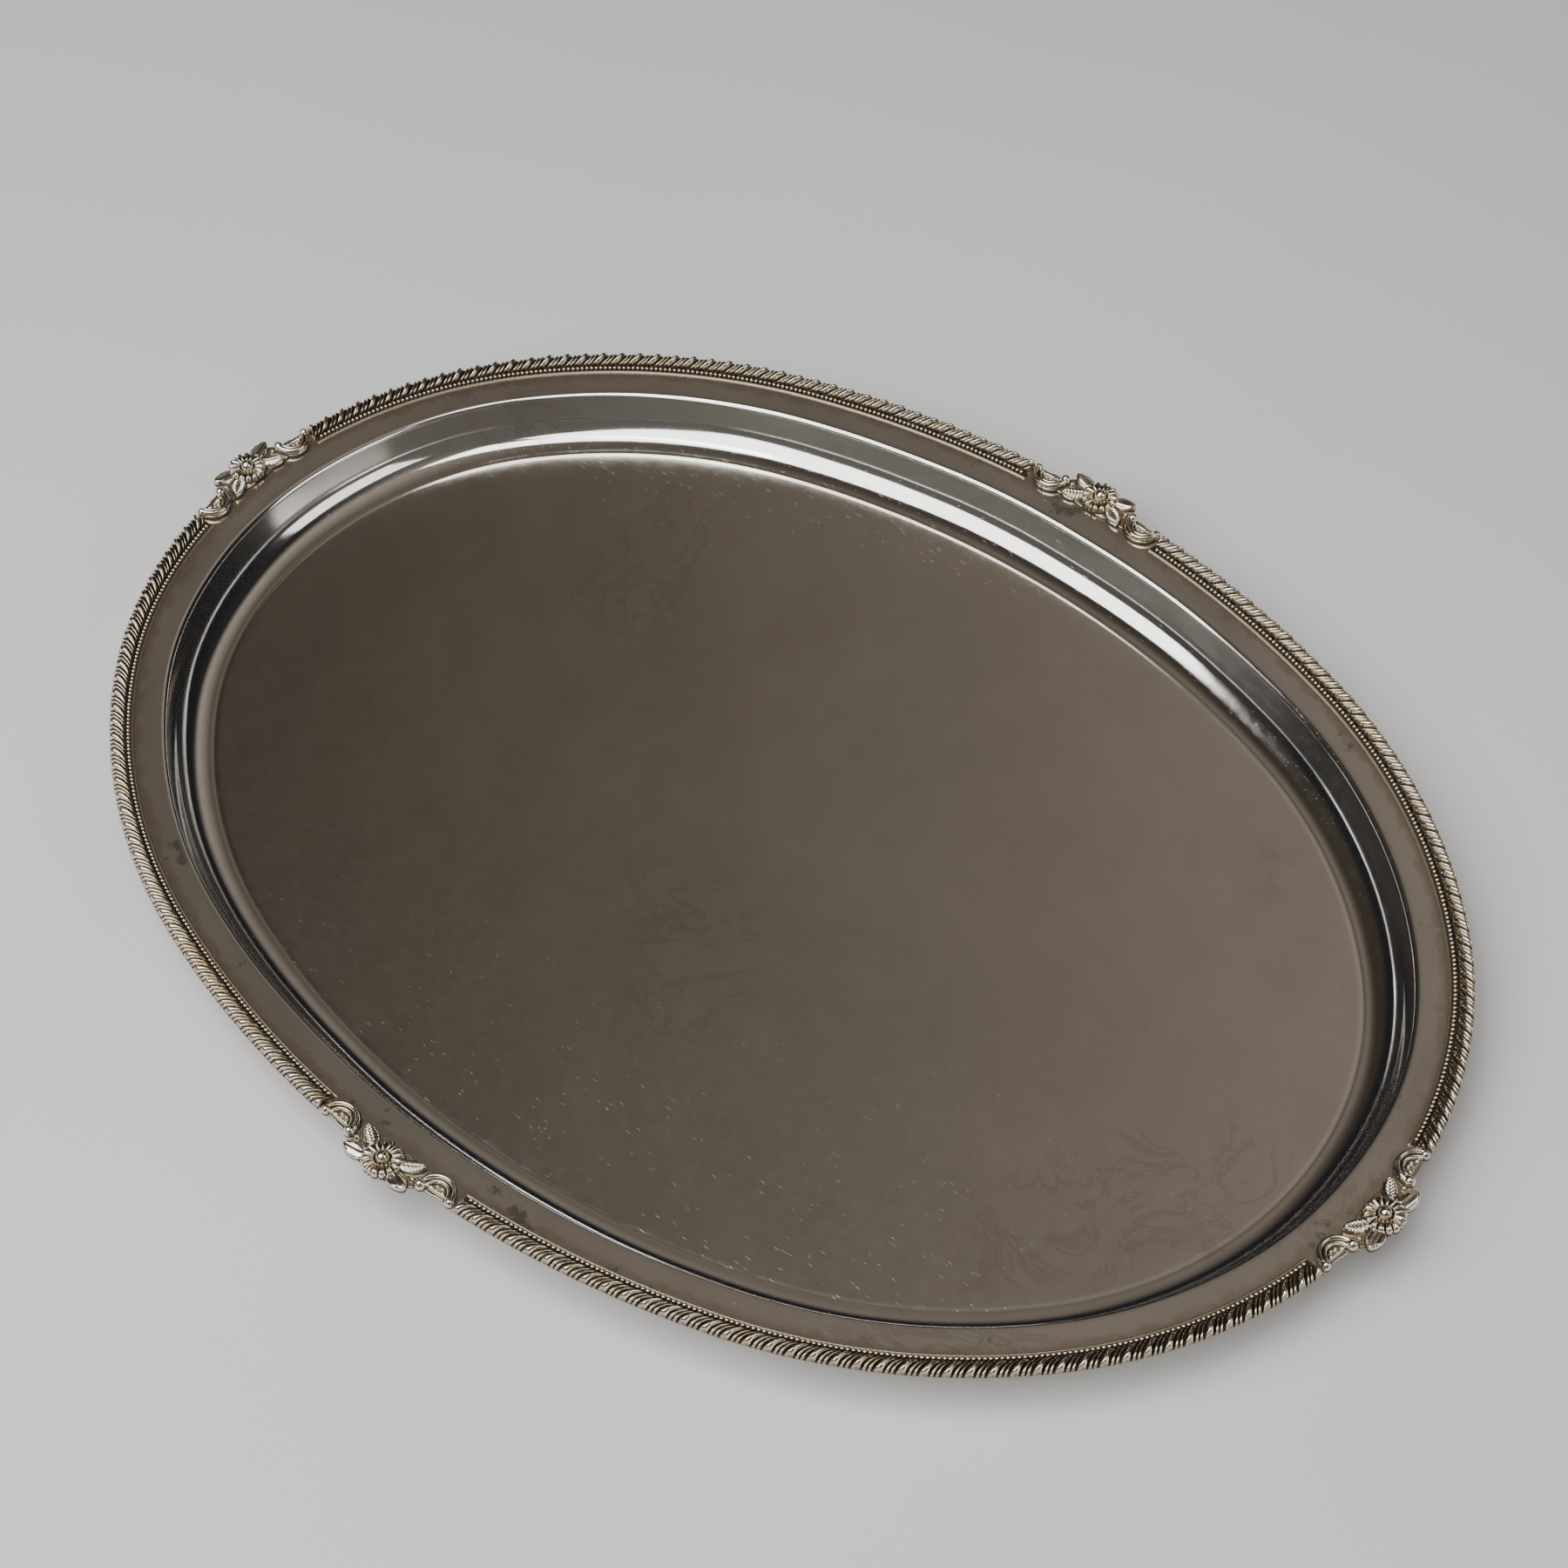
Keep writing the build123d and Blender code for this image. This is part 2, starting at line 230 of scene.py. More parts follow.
def make_pan():
    """The raised sheet, with the faint unevenness of hand work in its wall and floor."""
    segments = 960
    length = 4 * quarter_length
    along = np.arange(segments) * length / segments
    point, normal = outline(along)
    wobble_in = 0.16 * ripple(along, length, (3, 5, 8, 13, 17), 3)
    wobble_up = 0.07 * ripple(along, length, (4, 7, 11, 19, 23), 5)
    floor_insets = (50.0, 32.0, 26.5, 24.6, 24.0, 23.6, 23.2, 22.9)
    rings = [(inset, sheet) for inset in floor_insets] + pan_profile()
    rings += [(inset, 0.0) for inset in floor_insets[3::-1]]
    grid, insets = [], []
    for inset, height in rings:
        loose = smoothstep(6.5, 11.5, inset) * (1 - smoothstep(20.0, 24.0, inset))
        ring = point - (inset + wobble_in * loose)[:, None] * normal
        lift = wobble_up * loose * smoothstep(1.0, 5.0, height)
        crease = 0.1 * np.exp(-((inset - floor_edge - 0.75) / 0.45) ** 2) if height >= sheet else 0.0
        grid.append(np.column_stack([ring, height - crease + lift]))
        insets.append(np.full(segments, inset))
    inner = point - floor_insets[0] * normal
    for scale in (0.75, 0.5, 0.25, 0.0):
        for position, height in ((0, sheet), (len(grid) + 1, 0.0)):
            count = segments if scale else 1
            grid.insert(position, np.column_stack([inner[:count] * scale, np.full(count, height)]))
            insets.insert(position, np.full(count, floor_insets[0] * (2 - scale)))
    points, insets = np.concatenate(grid), np.concatenate(insets)
    rows = len(grid) - 2
    index = 1 + np.arange(rows * segments).reshape(rows, segments)
    after = np.roll(index, -1, axis=1)
    quads = np.stack([index[:-1], index[1:], after[1:], after[:-1]], -1).reshape(-1, 4)
    first = np.stack([np.zeros(segments, int), index[0], after[0]], -1)
    last = np.stack([np.full(segments, len(points) - 1), after[-1], index[-1]], -1)
    places = np.concatenate([[0.0], np.tile(along, rows), [0.0]])
    grime = pan_grime(places, insets) * (points[:, 2] > flange_at(insets) - 0.5 * sheet)
    piece = new_object("pan_sheet", points, [quads, first, last], inset=insets, grime=grime)
    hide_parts("pan")
    return piece


def pan_grime(along, insets):
    """Share of dirt that gathers beside the beads and round the castings, at places on the pan."""
    grime = np.exp(-((insets - 5.95) / 0.3) ** 2)
    near = (insets > 0.5) & (insets < 8.0)
    for number, shift in enumerate(casting_shifts):
        offset = along - number * quarter_length - shift
        offset = (offset + 2 * quarter_length) % (4 * quarter_length) - 2 * quarter_length
        beside = near & (np.abs(offset) < casting_half + 1.0)
        inside, _ = casting_field(offset[beside], -insets[beside])
        grime[beside] = smoothstep(-0.9, 0.0, inside)
    return grime


# ---- Border strips ----

units_per_strip, beads_per_strip, strip_margin = 42, 161, 1.1
quarters = ("back_right", "back_left", "front_left", "front_right")


def relief_strip(name, node, quarter, insets, relief):
    """A strip along a quarter of the outline. relief gives its height over the flange and its recess value:
    tarnish in the hollows together with painted shade.
    """
    before, after = casting_shifts[quarter], casting_shifts[(quarter + 1) % 4]
    start, stop = casting_half + before, quarter_length - casting_half + after
    along = np.linspace(start, stop, int((stop - start) / grid_step))
    height, recess = relief(along[:, None] - start, insets[None, :], stop - start)
    point, normal = outline(along + quarter * quarter_length)
    plan = point[:, None, :] - insets[None, :, None] * normal[:, None, :]
    ground = np.zeros_like(height) + flange_at(insets)
    top = np.concatenate([plan, (ground + height)[..., None]], -1)
    back = np.concatenate([plan, ground[..., None]], -1)
    points, faces = closed_relief(top, back)
    under = np.full(len(points) - recess.size, hidden_recess)
    piece = new_object(name, points, faces, recess=np.concatenate([recess.ravel(), under]))
    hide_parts(node)
    return piece


def hump(offset, half_width):
    """Round-topped cross profile: 1 on the line, 0 at half_width from it and beyond."""
    return np.sqrt(np.clip(1 - (offset / half_width) ** 2, 0, 1))


gadroon_outer, gadroon_inner = 0.1, 3.8
gadroon_features = (  # place in the unit, half width, rise over the ground
    (-1.36, 1.0, 2.15),
    (0.36, 0.42, 1.55),
    (1.46, 0.42, 1.40),
)


def gadroon_relief(along, inset, length):
    """Leaning S-curved lobes, each followed by two narrow reeds, on a crowned moulding."""
    share = np.clip((inset - gadroon_outer) / (gadroon_inner - gadroon_outer), 0, 1)
    pitch = (length - 2 * strip_margin) / units_per_strip
    bend = -1.35 + 2.1 * share + 1.2 * share ** 3
    place = along - strip_margin - bend
    unit = np.floor(place / pitch)
    local = place - (unit + 0.5) * pitch
    draw = np.random.default_rng(11)
    uneven = draw.uniform(0.86, 1.03, units_per_strip)[unit.astype(int) % units_per_strip]
    crown = np.where(share < 0.36, hump(share - 0.36, 0.37) ** 0.6, hump(share - 0.36, 0.66))
    ground = 0.25 + 0.22 * hump(share - 0.5, 0.52)
    height = ground + np.zeros_like(local)
    for centre, half_width, rise in gadroon_features:
        width = half_width * (1 - 0.25 * share ** 2)
        crest = rise * crown * uneven
        height = np.maximum(height, ground + crest * hump(local - centre, width))
    ends = smoothstep(0.0, 0.5, along) * (1 - smoothstep(length - 0.5, length, along))
    height = ground + (height - ground) * ends
    # Recess value for the material: brown tarnish in the hollows together with painted shade in the valleys
    # between lobes, on their flanks, along the band's inner edge by the beads and along its outer edge; the
    # plain ends get a middle value
    recess = np.clip((blurred(height, 3.5) - height) * 2.8 + 0.12, 0, 1)
    recess = np.maximum(recess, 1 - smoothstep(0.0, 1.0, height - ground))
    recess = np.maximum(recess, smoothstep(0.80, 0.97, share) * 0.9)
    recess = np.maximum(recess, (1 - smoothstep(0.0, 0.22, share)) * 0.42)
    recess = plain_recess + (recess - plain_recess) * ends
    return height, recess


bead_inset, bead_size = 4.5, 0.54
wire_outer, wire_inner = 3.9, 5.8
wire_base = 0.22
fillet_inset, fillet_start = 5.42, 5.1


def bead_relief(along, inset, length):
    """Row of round beads beside a low plain fillet."""
    pitch = (length - 2 * strip_margin) / beads_per_strip
    place = along - strip_margin
    bead = np.clip(np.floor(place / pitch), 0, beads_per_strip - 1)
    local = place - (bead + 0.5) * pitch
    distance = np.hypot(local, inset - bead_inset)
    height = np.where(distance < bead_size, 0.45 + 0.72 * hump(distance, bead_size), wire_base)
    fillet = wire_base + 0.26 * hump(inset - fillet_inset, 0.24)
    height = np.maximum(height, fillet)
    # Painted shade on the bead flanks and in the gaps between beads, so only the bead tops stay bright; the
    # fillet gets an even middle value of tarnish and painted shade
    recess = np.clip(1.85 - 2.1 * (height - wire_base), 0, 1)
    recess = np.where(inset > fillet_start, 0.55, recess)
    return height, recess


def make_border():
    """The gadroon strip and the beaded wire in each quarter."""
    gadroons, beadings = [], []
    first, last = gadroon_outer, gadroon_inner
    gadroon_insets = np.concatenate([[first], np.linspace(first + 0.04, last - 0.04, 36), [last]])
    wire_insets = np.linspace(wire_outer, wire_inner, 24)
    for quarter, place in enumerate(quarters):
        gadroons.append(relief_strip("gadroon_moulding_" + place, "gadroon_" + place, quarter,
                                     gadroon_insets, gadroon_relief))
        beadings.append(relief_strip("beaded_wire_" + place, "beading_" + place, quarter,
                                     wire_insets, bead_relief))
    return gadroons, beadings


# ---- Floral castings. u runs along the border and v outwards from the outline, in mm. ----

petals, petal_inner, petal_reach = 15, 1.95, 4.8
eye_radius, hollow_height = 1.6, 0.85
flower_v = -0.5
scroll_u, scroll_v = 14.7, -1.2
ridge_radius, fine_radius = 4.2, 2.95


def merge(current, inside, height):
    """Adds one feature: current holds the distance inside the casting and its height."""
    shape, top = current
    return np.maximum(shape, inside), np.where(inside > 0, np.maximum(top, height), top)


def flower_feature(u, v):
    """Rosette of round-tipped petals with a domed eye in a hollow."""
    radius = np.hypot(u, v - flower_v)
    angle = np.arctan2(v - flower_v, u)
    turn = angle * petals / (2 * pi)
    across = np.abs(turn - np.round(turn)) * 2
    reach = petal_reach - 0.5 * across ** 3
    spread = np.clip((radius - petal_inner) / (reach - petal_inner), 0, 1)
    crest = 1.25 + 1.2 * np.where(spread < 0.66, hump(spread - 0.66, 0.9), hump(spread - 0.66, 0.36))
    valley = hollow_height + 0.3 * (1 - spread)
    height = valley + (crest - valley) * hump(across, 0.94)
    height = np.where(radius < petal_inner, hollow_height, height)
    eye = 1.6 + 1.85 * hump(radius, eye_radius + 0.01)
    height = np.where(radius < eye_radius, eye, height)
    return reach - radius, height


def leaf_feature(u, v, place, heading, length, width, feathered):
    """Convex leaf with a sunk midrib and either slanting side veins or veins along it."""
    cosine, sine = cos(radians(heading)), sin(radians(heading))
    du, dv = u - place[0], v - place[1]
    run = (du * cosine + dv * sine) / (length / 2)
    side = -du * sine + dv * cosine
    half = (width / 2) * np.clip(1 - run ** 2, 1e-6, 1) ** 0.6 * (1 - 0.12 * run)
    across = np.clip(np.abs(side) / np.maximum(half, 1e-3), 0, 1)
    inside = np.minimum(half - np.abs(side), (1 - np.abs(run)) * length / 2)
    bulge = hump(across, 1.04) - 0.26 * np.exp(-(side / 0.2) ** 2)
    if feathered:
        slant = run * length / 2 - 0.9 * np.abs(side)
        veins = 0.15 * np.sin(2 * pi * slant / 0.85) * np.sin(pi * across) ** 0.6
    else:
        veins = 0.07 * np.cos(2 * pi * side / 0.8)
    height = 0.75 + 1.05 * bulge + veins + 0.35 * smoothstep(-0.3, 0.8, run)
    return inside, height


def scroll_feature(u, v):
    """C scroll: a broad ridge and a fine one between ball volutes, with studs in the barred hollow."""
    du, dv = u - scroll_u, v - scroll_v
    radius = np.hypot(du, dv)
    back = np.where(dv < 0.6, np.minimum(4.6 - radius, 0.6 - dv), -1.0)
    current = (back, 0.55 + 0.25 * smoothstep(2.4, 3.4, radius))
    swell = 0.70 - 0.16 * np.clip(du / ridge_radius, -1, 1)
    ridge = np.where(dv < 0.3, swell - np.abs(radius - ridge_radius), -1.0)
    current = merge(current, ridge, 0.75 + 1.45 * hump(radius - ridge_radius, swell))
    fine = np.where(dv < 0.1, 0.42 - np.abs(radius - fine_radius), -1.0)
    current = merge(current, fine, 0.75 + 0.95 * hump(radius - fine_radius, 0.42))
    bar = np.where(np.abs(du) < 3.0, 0.28 - np.abs(dv + 0.45), -1.0)
    current = merge(current, bar, 0.6 + 0.6 * hump(dv + 0.45, 0.28))
    for turn in np.linspace(25.0, 155.0, 4):
        stud = np.hypot(du - 1.8 * cos(radians(turn)), dv + 1.75 * sin(radians(turn)))
        current = merge(current, 0.42 - stud, 0.8 + 0.55 * hump(stud, 0.42))
    for place_u, place_v, size, rise in ((4.1, 0.1, 1.12, 1.5), (-4.0, 0.35, 1.35, 1.8)):
        ball = np.hypot(du - place_u, dv - place_v)
        current = merge(current, size - ball, 0.75 + rise * hump(ball, size))
    return current


def casting_field(u, v):
    """Distance inside the casting and its height, in mm. The two halves mirror each other."""
    u = np.abs(u)
    middle = (1 - np.hypot(u / 10.5, (v + 1.0) / 4.25)) * 4.2
    bridge = np.minimum(np.minimum(scroll_u - u, v + 4.6), -v - 0.4)
    current = (np.maximum(middle, bridge), np.full_like(u, 0.62))
    current = merge(current, *scroll_feature(u, v))
    curl = np.hypot(u - 8.5, v + 0.9)
    current = merge(current, 0.6 - curl, 0.7 + 0.9 * hump(curl, 0.6))
    current = merge(current, *leaf_feature(u, v, (6.3, -3.2), -31.0, 6.2, 3.5, True))
    current = merge(current, *leaf_feature(u, v, (6.1, 1.6), 14.0, 6.2, 3.9, False))
    shape, top = current
    inside, height = flower_feature(u, v)
    return np.maximum(shape, inside), np.where(inside > 0, height, top)


def open_sides(quads, count):
    """Sides that belong to one quad only, from quads that use count points."""
    sides = np.concatenate([quads[:, [0, 1]], quads[:, [1, 2]], quads[:, [2, 3]], quads[:, [3, 0]]])
    key = np.minimum(sides[:, 0], sides[:, 1]) * count + np.maximum(sides[:, 0], sides[:, 1])
    _, where, counts = np.unique(key, return_index=True, return_counts=True)
    return sides[where[counts == 1]]


def make_casting(number, place, radius):
    """One casting: the relief cut out along its edge, bent round the outline and closed underneath."""
    step = grid_step
    across_border = np.arange(-6.2, 5.1 + step, step)
    u, v = np.meshgrid(np.arange(-20.0, 20.0 + step, step), across_border, indexing="ij")
    inside, height = casting_field(u, v)
    kept = inside > 0
    cell = kept[:-1, :-1] & kept[1:, :-1] & kept[1:, 1:] & kept[:-1, 1:]
    index = np.arange(u.size).reshape(u.shape)
    quads = np.stack([index[:-1, :-1], index[1:, :-1], index[1:, 1:], index[:-1, 1:]], -1)[cell]
    used = np.unique(quads)
    renumber = np.full(u.size, -1)
    renumber[used] = np.arange(len(used))
    quads = renumber[quads]
    border = open_sides(quads, len(used))
    spread_u, spread_v = np.gradient(inside, step)
    slope = np.maximum(spread_u ** 2 + spread_v ** 2, 0.25).ravel()[used]
    edge_points = np.unique(border)
    flat_u, flat_v = u.ravel()[used].copy(), v.ravel()[used].copy()
    reach = np.clip(inside.ravel()[used] / slope, 0, 1.5 * step)
    flat_u[edge_points] -= (reach * spread_u.ravel()[used])[edge_points]
    flat_v[edge_points] -= (reach * spread_v.ravel()[used])[edge_points]
    # Tarnish in the hollows together with painted shade, from how far each point lies below its blurred
    # surroundings
    cavity_tarnish_and_shade = np.clip((blurred(height, 4.0) - height) * 2.0 + 0.17, 0, 1).ravel()[used]
    top_height = blurred(height, 0.6).ravel()[used]
    top_height = np.minimum(top_height, height.ravel()[used] + 0.1)
    point, normal = outline(number * quarter_length + casting_shifts[number])
    centre = point - radius * normal
    turned = flat_u / radius
    outward = normal[None, :] * np.cos(turned)[:, None]
    outward += np.array([-normal[1], normal[0]])[None, :] * np.sin(turned)[:, None]
    plan = centre + (radius + flat_v)[:, None] * outward
    ground = flange_at(np.maximum(-flat_v, -1.0))
    top = np.column_stack([plan, ground + top_height])
    back = np.column_stack([plan, ground])
    count = len(used)
    walls = np.column_stack([border[:, 0], border[:, 1], border[:, 1] + count, border[:, 0] + count])
    # The underside takes the full value, so the cut sides darken towards their foot as painted shade
    piece = new_object("floral_casting_" + place, np.concatenate([top, back]),
                       [quads[:, ::-1], quads + count, walls],
                       recess=np.concatenate([cavity_tarnish_and_shade, np.ones(count)]))
    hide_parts("flower_casting_" + place)
    return piece


def make_castings():
    """The four castings at the ends and in the middles of the sides."""
    places = (("right", end_radius), ("back", side_radius), ("left", end_radius), ("front", side_radius))
    return [make_casting(number, place, radius) for number, (place, radius) in enumerate(places)]


# ---- Materials ----

floor_clean = (0.755, 0.73, 0.67)
floor_worn = (0.685, 0.655, 0.595)
wall_pale = (0.84, 0.825, 0.80)
wall_deep = (0.79, 0.775, 0.745)
flange_bright = (0.94, 0.915, 0.875)
stain_brown = (0.60, 0.51, 0.36)
tarnish_grey = (0.30, 0.31, 0.31)
dirt_brown = (0.17, 0.135, 0.09)
speck_brown = (0.36, 0.30, 0.23)
water_brown = (0.47, 0.33, 0.24)
strip_bright = (0.86, 0.82, 0.74)
casting_bright = (0.78, 0.74, 0.66)
patch_warm = (0.84, 0.765, 0.63)
# Colours of tarnish together with painted shade in the hollows and on the flanks of the border and castings
recess_brown = (0.46, 0.385, 0.27)
recess_dark = (0.085, 0.065, 0.045)


class Nodes:
    """Short ways to add and join shader nodes of one material."""

    def __init__(self, name):
        self.material = bpy.data.materials.new(name)
        self.material.use_nodes = True
        self.tree = self.material.node_tree
        self.tree.nodes.clear()
        self.out = self.tree.nodes.new("ShaderNodeOutputMaterial")
        self.shader = self.tree.nodes.new("ShaderNodeBsdfPrincipled")
        self.tree.links.new(self.shader.outputs[0], self.out.inputs[0])
        self.place = self.tree.nodes.new("ShaderNodeTexCoord").outputs["Object"]

    def put(self, socket, value):
        """Sets a socket to a value or joins it to another socket."""
        if isinstance(value, bpy.types.NodeSocket):
            self.tree.links.new(value, socket)
        else:
            socket.default_value = value

    def scaled(self, scale, turn):
        """Object coordinates in mm, times a scale or three of them, and turned."""
        node = self.tree.nodes.new("ShaderNodeMapping")
        self.put(node.inputs["Vector"], self.place)
        scales = scale if isinstance(scale, tuple) else (scale,) * 3
        node.inputs["Rotation"].default_value = turn
        node.inputs["Scale"].default_value = [part / MM for part in scales]
        return node.outputs[0]

    def noise(self, scale, detail=3.0, rough=0.55, turn=(0, 0, 0), distortion=0.0):
        """Noise whose main features are 1/scale mm across."""
        node = self.tree.nodes.new("ShaderNodeTexNoise")
        self.put(node.inputs["Vector"], self.scaled(scale, turn))
        node.inputs["Scale"].default_value = 1.0
        node.inputs["Detail"].default_value = detail
        node.inputs["Roughness"].default_value = rough
        node.inputs["Distortion"].default_value = distortion
        return node.outputs["Fac"]

    def cells(self, scale, turn=(0, 0, 0)):
        """Distance from the middle of the nearest of scattered cells 1/scale mm across."""
        node = self.tree.nodes.new("ShaderNodeTexVoronoi")
        self.put(node.inputs["Vector"], self.scaled(scale, turn))
        node.inputs["Scale"].default_value = 1.0
        return node.outputs["Distance"]

    def attribute(self, name):
        """A value stored on the mesh."""
        node = self.tree.nodes.new("ShaderNodeAttribute")
        node.attribute_name = name
        return node.outputs["Fac"]

    def math(self, operation, first, second=0.0, clamp=False):
        """One math node."""
        node = self.tree.nodes.new("ShaderNodeMath")
        node.operation = operation
        node.use_clamp = clamp
        self.put(node.inputs[0], first)
        self.put(node.inputs[1], second)
        return node.outputs[0]

    def ramp(self, value, low, high, to_low=0.0, to_high=1.0):
        """Maps value from one range to another with smooth ends."""
        node = self.tree.nodes.new("ShaderNodeMapRange")
        node.interpolation_type = "SMOOTHSTEP"
        self.put(node.inputs["Value"], value)
        for key, part in (("From Min", low), ("From Max", high), ("To Min", to_low), ("To Max", to_high)):
            node.inputs[key].default_value = part
        return node.outputs[0]

    def mix(self, share, first, second):
        """Mixes two colours."""
        node = self.tree.nodes.new("ShaderNodeMix")
        node.data_type = "RGBA"
        self.put(node.inputs[0], share)
        self.put(node.inputs[6], first if isinstance(first, bpy.types.NodeSocket) else (*first, 1.0))
        self.put(node.inputs[7], second if isinstance(second, bpy.types.NodeSocket) else (*second, 1.0))
        return node.outputs[2]

    def bump(self, height, distance, strength=1.0, below=None):
        """Bump node on top of another normal."""
        node = self.tree.nodes.new("ShaderNodeBump")
        self.put(node.inputs["Height"], height)
        node.inputs["Distance"].default_value = distance * MM
        node.inputs["Strength"].default_value = strength
        if below is not None:
            self.put(node.inputs["Normal"], below)
        return node.outputs[0]

    def finish(self, colour, roughness, normal, metallic=1.0):
        """Joins the results to the shader."""
        self.put(self.shader.inputs["Base Color"], colour)
        self.put(self.shader.inputs["Roughness"], roughness)
        self.put(self.shader.inputs["Metallic"], metallic)
        self.put(self.shader.inputs["Normal"], normal)
        return self.material


def pan_silver():
    """Polished plate gone warm with age: satin floor, brighter wall, stains along the border."""
    n = Nodes("pan_silver")
    inset = n.attribute("inset")
    floor = n.ramp(inset, floor_edge - 1.1, floor_edge + 0.9)
    flange = n.ramp(inset, flange_width + 0.4, flange_width - 1.1)
    patches = n.noise(0.018, 4.0, 0.6)
    mottle = n.noise(0.35, 5.0, 0.65)
    clean = n.mix(n.ramp(patches, 0.35, 0.65), floor_clean, floor_worn)
    wall_tone = n.mix(n.ramp(mottle, 0.3, 0.7), wall_pale, wall_deep)
    colour = n.mix(floor, wall_tone, clean)
    colour = n.mix(flange, colour, flange_bright)

    # Stain and blotches on the flange, and dirt beside the beads and the castings
    stain_edge = n.math("ADD", inset, n.math("MULTIPLY", n.noise(0.16, 4.0, 0.65), -7.0))
    stain = n.ramp(stain_edge, 5.0, 2.6, 0.0, 0.6)
    colour = n.mix(stain, colour, stain_brown)
    blotch = n.math("MULTIPLY", n.ramp(n.noise(0.05, 5.0, 0.7, (0, 0, 0.9)), 0.60, 0.66), flange)
    colour = n.mix(n.math("MULTIPLY", blotch, 0.7), colour, tarnish_grey)
    dirt = n.math("MULTIPLY", n.attribute("grime"), n.ramp(n.noise(0.9, 5.0, 0.7), 0.25, 0.6), True)
    colour = n.mix(n.math("MULTIPLY", dirt, 0.85), colour, dirt_brown)

    # Specks in loose groups, and wandering water marks
    speck = n.math("MULTIPLY", n.ramp(n.cells(0.5), 0.11, 0.05),
                   n.ramp(n.noise(0.05, 2.0), 0.52, 0.62), True)
    colour = n.mix(n.math("MULTIPLY", speck, 0.7), colour, speck_brown)
    water = n.math("ABSOLUTE", n.math("SUBTRACT", n.noise(0.045, 4.0, 0.6, (0, 0, 0.4), 1.5), 0.5))
    water = n.math("MULTIPLY", n.ramp(water, 0.045, 0.0), n.ramp(n.noise(0.011, 1.0, 0.5), 0.59, 0.68))
    colour = n.mix(n.math("MULTIPLY", water, 0.22), colour, water_brown)

    roughness = n.math("ADD", n.ramp(mottle, 0.3, 0.75, 0.0, 0.04), n.ramp(patches, 0.3, 0.7, 0.06, 0.10))
    roughness = n.math("ADD", roughness, n.math("MULTIPLY", floor, 0.07))
    roughness = n.math("ADD", roughness, n.math("MULTIPLY", stain, 0.12))
    roughness = n.math("ADD", roughness, n.math("MULTIPLY", dirt, 0.25))
    normal = n.bump(n.noise(0.02, 2.0), 0.35)
    normal = n.bump(n.noise(1.5, 3.0, 0.6), 0.0035, 1.0, normal)
    normal = n.bump(hairlines(n), 0.02, 0.35, normal)
    return n.finish(colour, roughness, normal)


def hairlines(n):
    """Sparse straight scratches in several directions."""
    total = None
    for turn, size in ((0.35, 0.16), (1.15, 0.21), (2.1, 0.18), (2.75, 0.14)):
        line = n.ramp(n.cells((size * 0.35, size * 18, 1.0), (0, 0, turn)), 0.07, 0.02)
        total = line if total is None else n.math("MAXIMUM", total, line)
    return total


def border_silver(name, bright, turn):
    """Bright worn tops over brown sulphide in the recesses, deepened with painted shade to near black."""
    n = Nodes(name)
    recess = n.attribute("recess")
    patches = n.noise(0.09, 3.0, 0.6, (0, 0, turn))
    grain = n.noise(2.2, 4.0, 0.65)
    depth = n.math("ADD", recess, n.math("MULTIPLY", n.math("SUBTRACT", grain, 0.5), 0.2))
    warm = n.mix(n.ramp(patches, 0.38, 0.66), bright, patch_warm)
    # Brown, then near black, as the recess value rises: tarnish in the hollows together with painted shade
    colour = n.mix(n.ramp(depth, 0.2, 0.5), warm, recess_brown)
    colour = n.mix(n.ramp(depth, 0.45, 0.85), colour, recess_dark)
    roughness = n.math("ADD", n.ramp(depth, 0.2, 0.7, 0.10, 0.5), n.ramp(grain, 0.3, 0.8, 0.0, 0.05))
    normal = n.bump(grain, 0.007)
    return n.finish(colour, roughness, normal)


def floor_paper():
    """Pale seamless paper with a faint tooth."""
    n = Nodes("studio_paper")
    tooth = n.noise(0.8, 4.0, 0.6)
    colour = n.mix(n.ramp(n.noise(0.004, 2.0), 0.3, 0.7), (0.80, 0.79, 0.79), (0.77, 0.765, 0.77))
    normal = n.bump(tooth, 0.02, 0.4)
    return n.finish(colour, n.ramp(tooth, 0.2, 0.8, 0.75, 0.85), normal, 0.0)


# ---- Scene ----

def make_floor():
    """Pale floor far wider than the tray, a hair below it."""
    reach, drop = 6000.0, 0.05
    signs = ((-1, -1), (1, -1), (1, 1), (-1, 1))
    corners = [(x * reach, y * reach, -drop) for x, y in signs]
    floor = new_object("studio_floor", corners, [np.array([[0, 1, 2, 3]])])
    floor.data.materials.append(floor_paper())


view_azimuth = radians(-49.87)
view_elevation = radians(50.54)
view_distance = 0.7746
view_target = Vector((-0.0009, 0.0062, 0.0147))


def camera_frame():
    """Unit vectors of the camera's right, of the level direction away from it, and up."""
    away = Vector((-cos(view_azimuth), -sin(view_azimuth), 0))
    return Vector((away.y, -away.x, 0)), away, Vector((0, 0, 1))


def make_camera():
    """Camera on the tray's front right, looking down."""
    level = cos(view_elevation)
    offset = Vector((cos(view_azimuth) * level, sin(view_azimuth) * level, sin(view_elevation)))
    data = bpy.data.cameras.new("camera")
    data.sensor_width = 36.0
    data.lens = 74.9
    data.clip_start = 0.01
    camera = bpy.data.objects.new("camera", data)
    camera.location = view_target + offset * view_distance
    camera.rotation_euler = (-offset).to_track_quat("-Z", "Y").to_euler()
    bpy.context.scene.collection.objects.link(camera)
    bpy.context.scene.camera = camera


def add_softbox(name, right, away, up, size, power):
    """White softbox placed by the camera's right and away directions, aimed at the tray's origin."""
    across, forward, rise = camera_frame()
    data = bpy.data.lights.new(name, "AREA")
    data.shape = "RECTANGLE"
    data.size, data.size_y = size
    data.energy = power
    lamp = bpy.data.objects.new(name, data)
    lamp.location = across * right + forward * away + rise * up
    lamp.rotation_euler = (-lamp.location).to_track_quat("-Z", "Y").to_euler()
    bpy.context.scene.collection.objects.link(lamp)


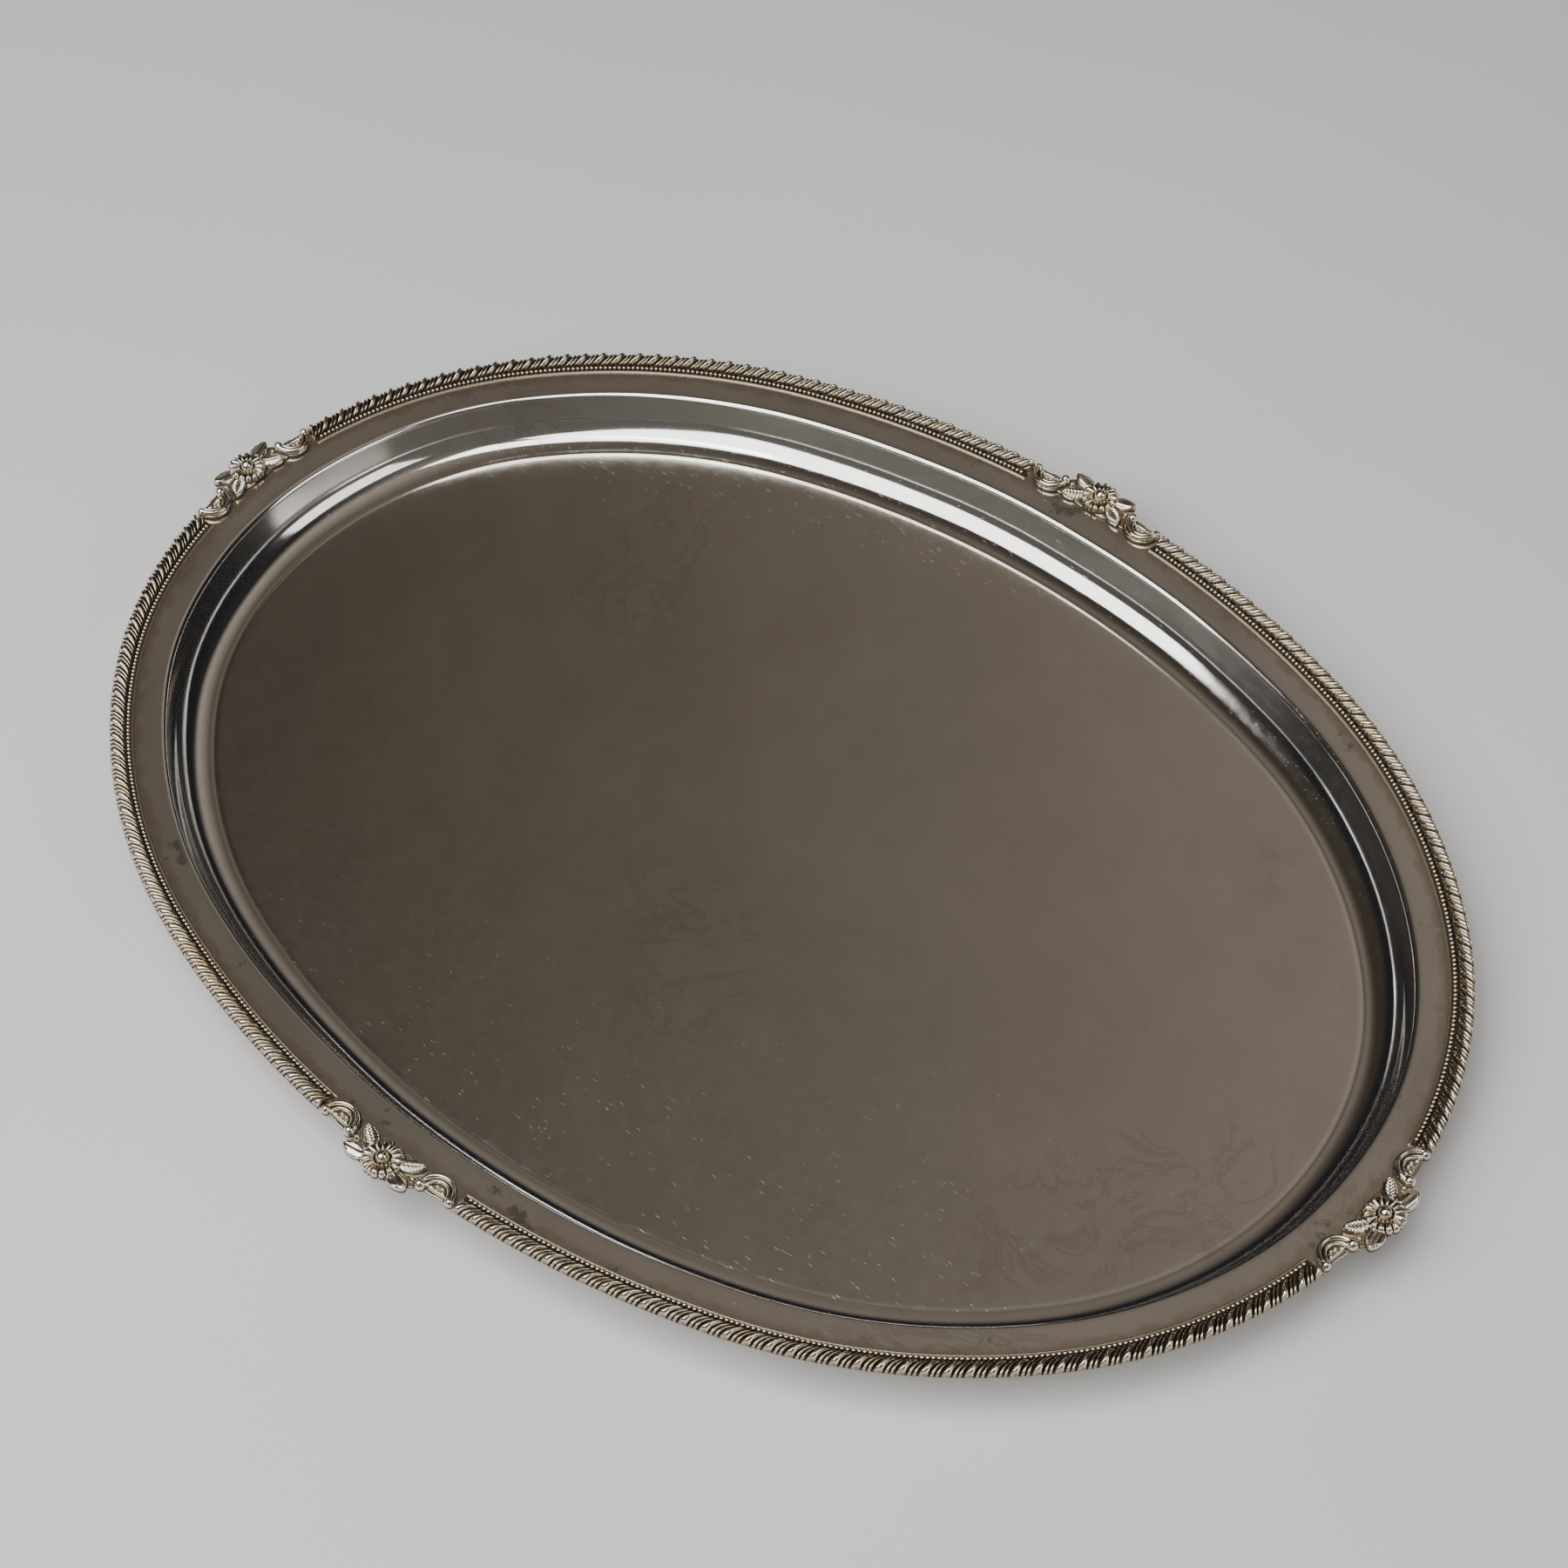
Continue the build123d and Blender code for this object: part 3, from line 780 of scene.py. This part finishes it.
def make_world():
    """Dim warm room: lighter overhead on the camera's right, then dark at the far right.

    It is dark low down beyond the tray, and one even grey behind the camera.
    """
    world = bpy.data.worlds.new("room")
    bpy.context.scene.world = world
    world.use_nodes = True
    tree = world.node_tree
    across, forward, rise = camera_frame()
    direction = tree.nodes.new("ShaderNodeTexCoord").outputs["Generated"]

    def towards(vector, low, high):
        """Share that rises as a direction turns towards a vector."""
        dot = tree.nodes.new("ShaderNodeVectorMath")
        dot.operation = "DOT_PRODUCT"
        tree.links.new(direction, dot.inputs[0])
        dot.inputs[1].default_value = vector
        ramp = tree.nodes.new("ShaderNodeMapRange")
        ramp.interpolation_type = "SMOOTHSTEP"
        tree.links.new(dot.outputs["Value"], ramp.inputs["Value"])
        ramp.inputs["From Min"].default_value = low
        ramp.inputs["From Max"].default_value = high
        return ramp.outputs[0]

    def blend(share, first, second):
        """Mixes two colours."""
        node = tree.nodes.new("ShaderNodeMix")
        node.data_type = "RGBA"
        tree.links.new(share, node.inputs[0])
        for socket, colour in ((node.inputs[6], first), (node.inputs[7], second)):
            if isinstance(colour, tuple):
                socket.default_value = (*colour, 1.0)
            else:
                tree.links.new(colour, socket)
        return node.outputs[2]

    overhead = blend(towards(across, -0.33, 0.60), (0.047, 0.038, 0.030), (0.40, 0.345, 0.29))
    overhead = blend(towards(across, 0.36, 0.60), overhead, (0.026, 0.024, 0.023))
    away = blend(towards(rise, 0.28, 0.62), (0.016, 0.016, 0.02), overhead)
    room = blend(towards(-forward, -0.1, 0.6), away, (0.13, 0.122, 0.11))
    background = tree.nodes["Background"]
    tree.links.new(room, background.inputs["Color"])
    background.inputs["Strength"].default_value = 1.0


def make_lights():
    """Key softbox over the near left, a small one overhead and a dimmer one on the right."""
    add_softbox("key_softbox", -0.47, -0.33, 0.83, (1.0, 0.95), 11.5)
    add_softbox("overhead_softbox", -0.03, -0.11, 1.1, (0.66, 0.36), 2.9)
    add_softbox("right_softbox", 1.05, -0.40, 0.72, (0.8, 0.75), 3.4)


make_floor()
make_camera()
make_world()
make_lights()

pan = make_pan()
pan.data.materials.append(pan_silver())
gadroons, beadings = make_border()
castings = make_castings()
strip_material = border_silver("border_silver", strip_bright, 0.4)
casting_material = border_silver("casting_silver", casting_bright, 1.9)
for piece in gadroons + beadings:
    piece.data.materials.append(strip_material)
for piece in castings:
    piece.data.materials.append(casting_material)
for piece in [pan] + gadroons + beadings + castings:
    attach(piece, "root")
